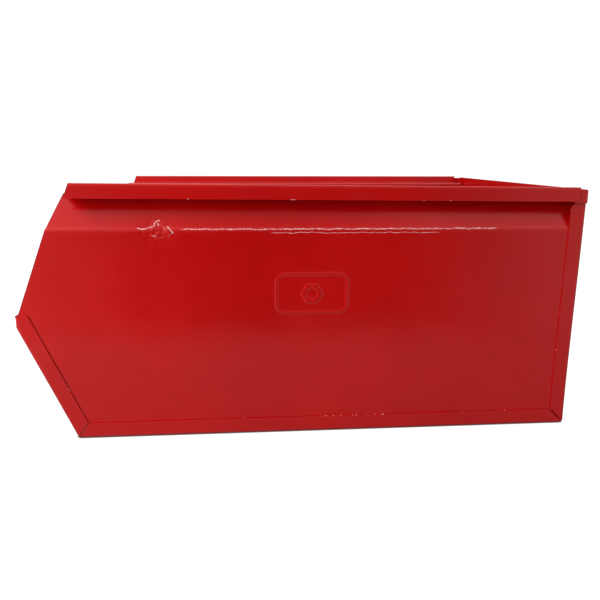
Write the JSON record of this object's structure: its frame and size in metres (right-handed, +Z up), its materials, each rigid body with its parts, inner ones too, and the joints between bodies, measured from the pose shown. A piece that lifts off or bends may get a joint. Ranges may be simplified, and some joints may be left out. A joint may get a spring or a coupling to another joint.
{
  "type": "hanging parts bin",
  "caption": "Open-fronted sheet steel parts bin with a sloping front, a folded lip and side rims that it hangs or stacks by.",
  "frame": {"origin": "middle of the flat underside, below the middle of the overall box", "axes": "+X from the open front to the back, +Z up, +Y to the left of someone who faces the front"},
  "size_m": [0.45, 0.3058, 0.2],
  "materials": {
    "red_paint": "gloss enamel",
    "weld_steel": "as welded"
  },
  "bodies": {
    "root": {"folded_body": "red_paint", "right_side_panel": "red_paint", "left_side_panel": "red_paint", "weld_right_floor_1": "weld_steel", "weld_right_floor_2": "weld_steel", "weld_right_floor_3": "weld_steel", "weld_right_floor_4": "weld_steel", "weld_right_floor_5": "weld_steel", "weld_right_floor_6": "weld_steel", "weld_right_back_1": "weld_steel", "weld_right_back_2": "weld_steel", "weld_right_back_3": "weld_steel", "weld_right_front_1": "weld_steel", "weld_right_front_2": "weld_steel", "weld_right_rim": "weld_steel", "weld_left_floor_1": "weld_steel", "weld_left_floor_2": "weld_steel", "weld_left_floor_3": "weld_steel", "weld_left_floor_4": "weld_steel", "weld_left_floor_5": "weld_steel", "weld_left_floor_6": "weld_steel", "weld_left_back_1": "weld_steel", "weld_left_back_2": "weld_steel", "weld_left_back_3": "weld_steel", "weld_left_front_1": "weld_steel", "weld_left_front_2": "weld_steel", "weld_left_rim": "weld_steel"}
  },
  "joints": []
}
